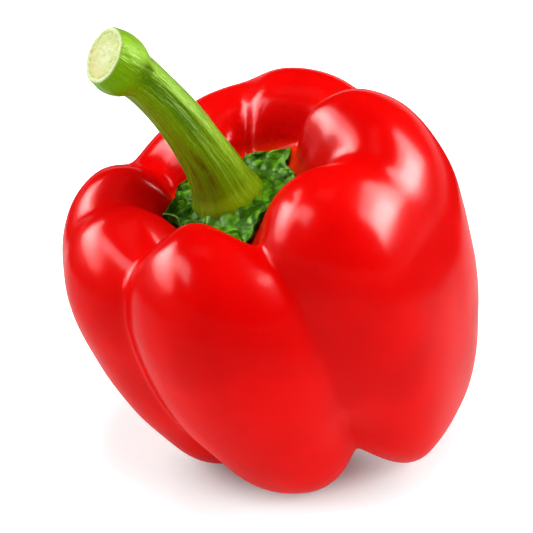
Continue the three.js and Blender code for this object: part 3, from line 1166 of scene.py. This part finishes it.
@dataclass(frozen=True)
class SoftBox:
    """A rectangular studio lamp that faces the pepper, placed by its direction from the front."""

    name: str
    turn: float
    elevation: float
    distance: float
    width: float
    height: float
    power: float
    sees: Sees
    aim: Triple = (0.0, 0.0, 0.045)

    def build(self) -> bpy.types.Object:
        """Build the lamp and aim it."""
        lamp = bpy.data.lights.new(self.name, "AREA")
        lamp.shape = "RECTANGLE"
        lamp.size, lamp.size_y = self.width, self.height
        lamp.energy = self.power
        holder = bpy.data.objects.new(self.name, lamp)
        bpy.context.scene.collection.objects.link(holder)
        holder.visible_diffuse = self.sees is Sees.MATTE
        holder.visible_glossy = self.sees is Sees.GLOSS
        place_on_sphere(holder, self.aim, self.turn, self.elevation, self.distance)
        LOG.info("%s at turn %.0f, elevation %.0f", self.name, self.turn, self.elevation)
        return holder


def place_on_sphere(
    holder: bpy.types.Object, aim: Triple, turn: float, elevation: float, distance: float
) -> None:
    """Put a lamp or camera on a sphere round a point and turn it to face that point.

    Args:
        holder: The lamp or camera.
        aim: The point that it faces.
        turn: Direction from the front, in degrees, positive to the right.
        elevation: Degrees above the horizon.
        distance: Radius of the sphere.
    """
    flat, up = math.cos(math.radians(elevation)), math.sin(math.radians(elevation))
    offset = Vector((flat * math.sin(math.radians(turn)), -flat * math.cos(math.radians(turn)), up))
    holder.location = Vector(aim) + offset * distance
    holder.rotation_euler = offset.to_track_quat("Z", "Y").to_euler()


@dataclass
class Studio:
    """Pale floor, soft boxes, a weak sky, a low black screen and the camera."""

    floor_size: float = 8.0
    floor_finish: FloorFinish = FloorFinish()
    lamps: tuple[SoftBox, ...] = (
        SoftBox("shine_right", 100, 30, 0.75, 0.58, 0.46, 56.0, Sees.GLOSS),
        SoftBox("shine_right_heart", 95, 26, 0.74, 0.36, 0.26, 30.0, Sees.GLOSS),
        SoftBox("shine_left", -95, 25, 0.75, 0.84, 0.56, 70.0, Sees.GLOSS),
        SoftBox("shine_left_heart", -98, 24, 0.74, 0.50, 0.32, 34.0, Sees.GLOSS),
        SoftBox("shine_front", -52, 42, 0.75, 0.44, 0.28, 15.0, Sees.GLOSS),
        SoftBox("lamp_top", 0, 88, 1.0, 0.5, 0.5, 9.5, Sees.MATTE),
        SoftBox("lamp_right", 78, 26, 1.0, 0.6, 0.6, 4.5, Sees.MATTE),
        SoftBox("lamp_left", -95, 25, 1.0, 0.6, 0.6, 2.5, Sees.MATTE),
    )
    sky: float = 0.40
    flag_radius: float = 0.165
    flag_height: float = 0.045
    flag_sides: int = 72
    camera_aim: Triple = (-0.0013, 0.0045, 0.0422)
    camera_turn: float = 1.88
    camera_elevation: float = 29.9
    camera_distance: float = 0.6
    lens: float = 185.0
    sensor: float = 36.0

    def build(self) -> None:
        """Build the floor, screen, lamps, sky and camera."""
        self.build_floor()
        self.build_flag()
        for lamp in self.lamps:
            lamp.build()
        self.build_sky()
        self.build_camera()

    def build_floor(self) -> None:
        """Build the floor, one square face."""
        half = self.floor_size / 2
        mesh = bpy.data.meshes.new("studio_floor")
        corners = [(-half, -half, 0.0), (half, -half, 0.0), (half, half, 0.0), (-half, half, 0.0)]
        mesh.from_pydata(corners, [], [(0, 1, 2, 3)])
        floor = bpy.data.objects.new("studio_floor", mesh)
        bpy.context.scene.collection.objects.link(floor)
        mesh.materials.append(self.floor_finish.material())

    def build_sky(self) -> None:
        """Build the even white sky, which isn't seen in the gloss."""
        world = bpy.data.worlds.new("studio_sky")
        world.use_nodes = True
        background = world.node_tree.nodes["Background"]
        background.inputs["Color"].default_value = (*WHITE, 1.0)
        background.inputs["Strength"].default_value = self.sky
        world.cycles_visibility.glossy = False
        bpy.context.scene.world = world

    def build_flag(self) -> None:
        """Build a low black screen round the pepper, seen only in reflections, that ends the bright floor."""
        turn = np.arange(self.flag_sides) * (2 * np.pi / self.flag_sides)
        ring = np.stack([np.cos(turn), np.sin(turn), 0 * turn], -1) * self.flag_radius
        points = np.vstack([ring + UP * self.flag_height, ring])
        mesh = bpy.data.meshes.new("studio_flag")
        mesh.from_pydata(points.tolist(), [], ring_faces(2, self.flag_sides, Closing.POLES).tolist())
        graph = Graph("studio_flag")
        mesh.materials.append(graph.finish({"Base Color": BLACK, "Specular IOR Level": 0.0}))
        flag = bpy.data.objects.new("studio_flag", mesh)
        bpy.context.scene.collection.objects.link(flag)
        flag.visible_camera = flag.visible_diffuse = flag.visible_shadow = False

    def build_camera(self) -> None:
        """Build the camera and make it the scene's."""
        camera = bpy.data.cameras.new("studio_camera")
        camera.lens, camera.sensor_width = self.lens, self.sensor
        camera.clip_start, camera.clip_end = 0.01, 50.0
        holder = bpy.data.objects.new("studio_camera", camera)
        bpy.context.scene.collection.objects.link(holder)
        place_on_sphere(
            holder, self.camera_aim, self.camera_turn, self.camera_elevation, self.camera_distance
        )
        bpy.context.scene.camera = holder
        bpy.context.scene.view_settings.view_transform = "Standard"


def main() -> None:
    """Build the pepper and its studio."""
    logging.basicConfig(level=logging.INFO, format="%(name)s: %(message)s")
    fruit = Fruit()
    fruit.build()
    Stem(fruit).build()
    Calyx(fruit).build()
    Studio().build()


if __name__ == "__main__":
    main()
